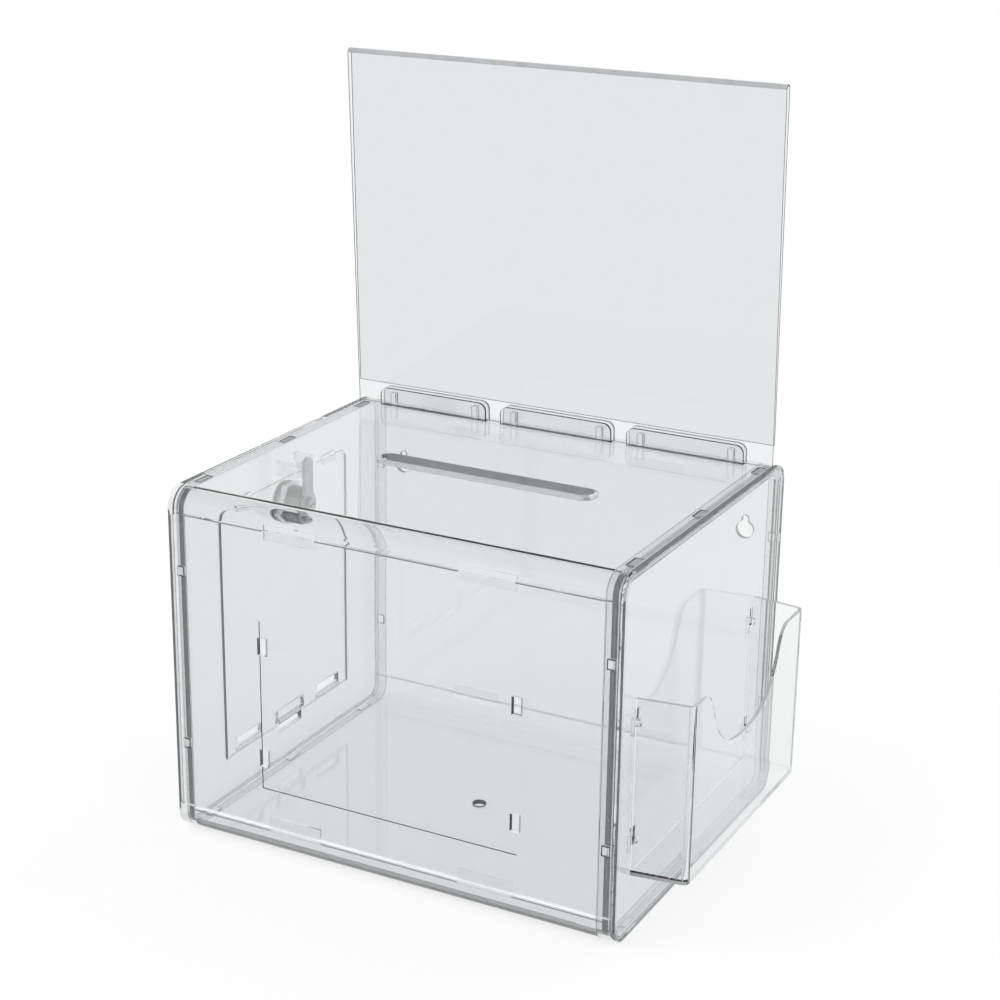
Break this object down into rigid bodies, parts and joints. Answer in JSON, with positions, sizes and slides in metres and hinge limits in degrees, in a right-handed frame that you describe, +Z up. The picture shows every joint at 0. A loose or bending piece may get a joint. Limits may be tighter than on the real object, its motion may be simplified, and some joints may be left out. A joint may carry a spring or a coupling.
{
  "type": "ballot box",
  "caption": "Clear moulded tabletop ballot box with a slotted lid, an upright folded sign header, a locking bottom-hinged door in one end and a hook-on leaflet pocket on the other.",
  "frame": {"origin": "centre of the screw hole in the bottom panel, on the surface the box stands on", "axes": "+X along the front towards the leaflet pocket, +Y from the front panel to the back panel, +Z up"},
  "size_m": [0.319, 0.224, 0.4378],
  "materials": {
    "clear_plastic": "polished clear moulding",
    "clear_sheet": "clear bent sheet",
    "lock_metal": "nickel plated die casting",
    "lock_steel": "zinc plated pressing",
    "wafer_brass": "stamped brass"
  },
  "bodies": {
    "case": {"top_panel": "clear_plastic", "bottom_panel": "clear_plastic", "front_panel": "clear_plastic", "back_panel": "clear_plastic", "left_end_cap": "clear_plastic", "right_end_cap": "clear_plastic"},
    "door": {"access_door": "clear_plastic", "lock_body": "lock_metal", "lock_washer": "lock_steel", "lock_nut": "lock_metal"},
    "plug": {"lock_plug": "lock_metal", "lock_wafer_1": "wafer_brass", "lock_wafer_2": "wafer_brass", "lock_wafer_3": "wafer_brass", "lock_wafer_4": "wafer_brass", "wafer_springs": "lock_steel", "lock_stop_disc": "lock_steel", "lock_cam": "lock_steel", "cam_screw": "lock_steel"},
    "header": {"header_sheet": "clear_sheet"},
    "pocket": {"side_pocket": "clear_plastic"}
  },
  "joints": [
    {"name": "door_swing", "type": "hinge", "parent": "case", "child": "door", "pos_m": [-0.141, 0.0045, 0.0279], "axis": [0, -1, 0], "range_deg": [0, 90]},
    {"name": "lock_turn", "type": "hinge", "parent": "door", "child": "plug", "pos_m": [-0.126, 0.0045, 0.1705], "axis": [-1, 0, 0], "range_deg": [0, 90]},
    {"name": "header_lift", "type": "slide", "parent": "case", "child": "header", "axis": [0, -0.0488, 0.9988], "range_m": [0, 0.012]},
    {"name": "pocket_lift", "type": "slide", "parent": "case", "child": "pocket", "axis": [0, 0, 1], "range_m": [0, 0.0062]}
  ]
}
